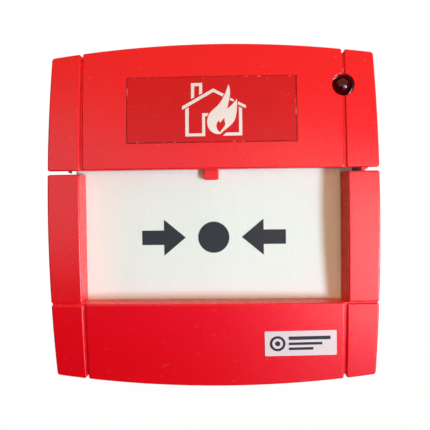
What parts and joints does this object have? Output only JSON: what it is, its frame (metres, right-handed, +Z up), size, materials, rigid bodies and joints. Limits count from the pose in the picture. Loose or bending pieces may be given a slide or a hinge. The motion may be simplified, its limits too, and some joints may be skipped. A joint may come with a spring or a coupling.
{
  "type": "manual call point",
  "caption": "Red indoor manual call point with a white resettable plate in a recessed window, house and flame label, status light and inner switch frame.",
  "frame": {"origin": "centre of the inner frame's rear face, which lies on the wall", "axes": "+Z up, +X to the right seen from the front, -Y out of the wall towards the user"},
  "size_m": [0.089, 0.0271, 0.093],
  "materials": {
    "cover_red": "fine satin moulded ABS, red",
    "label_red": "smooth printed polycarbonate label, dark red",
    "print_white": "screen print, warm white",
    "sticker_white": "glossy paper sticker, white",
    "print_dark": "screen print, dark grey",
    "lens_red": "tinted clear polycarbonate, deep red",
    "element_white": "semi-gloss moulded plastic, white",
    "flag_yellow": "satin moulded plastic, yellow",
    "frame_black": "fine textured moulded nylon, black",
    "spring_steel": "drawn spring wire, bright",
    "board_green": "solder resist on fibreglass board, green",
    "screw_steel": "zinc plated steel, bright",
    "switch_black": "phenolic moulding, black",
    "plunger_red": "satin moulded plastic, red",
    "tinned": "tinned copper, satin",
    "terminal_green": "moulded polyamide, green",
    "brass": "nickel plated brass, satin",
    "resistor_tan": "lacquered resistor body, beige with colour rings",
    "diode_black": "epoxy body, black with a pale end ring",
    "slide_black": "acetal moulding, black",
    "latch_grey": "acetal moulding, grey"
  },
  "bodies": {
    "frame": {"element_springs": "spring_steel", "chassis": "frame_black", "circuit_board": "board_green", "board_screws": "screw_steel", "switch_body": "switch_black", "switch_pins": "tinned", "status_led": "lens_red", "status_led_leads": "tinned", "resistors": "resistor_tan", "diode": "diode_black", "component_leads": "tinned", "terminal_header": "terminal_green", "terminal_pins": "tinned", "terminal_plug": "terminal_green", "terminal_clamps": "brass", "terminal_screws": "screw_steel", "test_slide_spring": "spring_steel", "cover_latch_spring": "spring_steel"},
    "front_cover_assembly": {"front_cover": "cover_red", "symbol_label": "label_red", "house_flame_symbol": "print_white", "maker_label": "sticker_white", "maker_label_mark": "print_dark", "indicator_lens": "lens_red"},
    "element": {"operating_element": "element_white", "element_symbols": "print_dark"},
    "flag": {"alarm_flag": "flag_yellow"},
    "lever": {"switch_lever": "spring_steel"},
    "plunger": {"switch_plunger": "plunger_red"},
    "test_key_slide": {"test_slide": "slide_black"},
    "latch": {"cover_latch": "latch_grey"}
  },
  "joints": [
    {"name": "element_press", "type": "hinge", "parent": "frame", "child": "element", "pos_m": [0, -0.0185, -0.0252], "axis": [-1, 0, 0], "range_deg": [0, 6], "stiffness_Nm_per_rad": 0.08, "deforming": ["element_springs"]},
    {"name": "flag_drop", "type": "slide", "parent": "frame", "child": "flag", "axis": [0, 0, -1], "range_m": [0, 0.006]},
    {"name": "lever_swing", "type": "hinge", "parent": "frame", "child": "lever", "pos_m": [0.008, -0.014, 0.0016], "axis": [1, 0, 0], "range_deg": [0, 10.6]},
    {"name": "plunger_travel", "type": "slide", "parent": "frame", "child": "plunger", "axis": [0, 1, 0], "range_m": [0, 0.0006]},
    {"name": "cover_swing", "type": "hinge", "parent": "frame", "child": "front_cover_assembly", "pos_m": [0, -0.0024, 0.041], "axis": [-1, 0, 0], "range_deg": [0, 30]},
    {"name": "test_key_lift", "type": "slide", "parent": "frame", "child": "test_key_slide", "axis": [0, 0, 1], "range_m": [0, 0.003], "stiffness_N_per_m": 150, "deforming": ["test_slide_spring"]},
    {"name": "latch_lift", "type": "slide", "parent": "frame", "child": "latch", "axis": [0, 0, 1], "range_m": [0, 0.0018], "stiffness_N_per_m": 150, "deforming": ["cover_latch_spring"]}
  ],
  "couplings": [
    {"joint": "flag_drop", "follows": "element_press", "m_per_rad": 0.0572},
    {"joint": "lever_swing", "follows": "element_press", "ratio": 1.76},
    {"joint": "plunger_travel", "follows": "element_press", "m_per_rad": 0.0057}
  ]
}
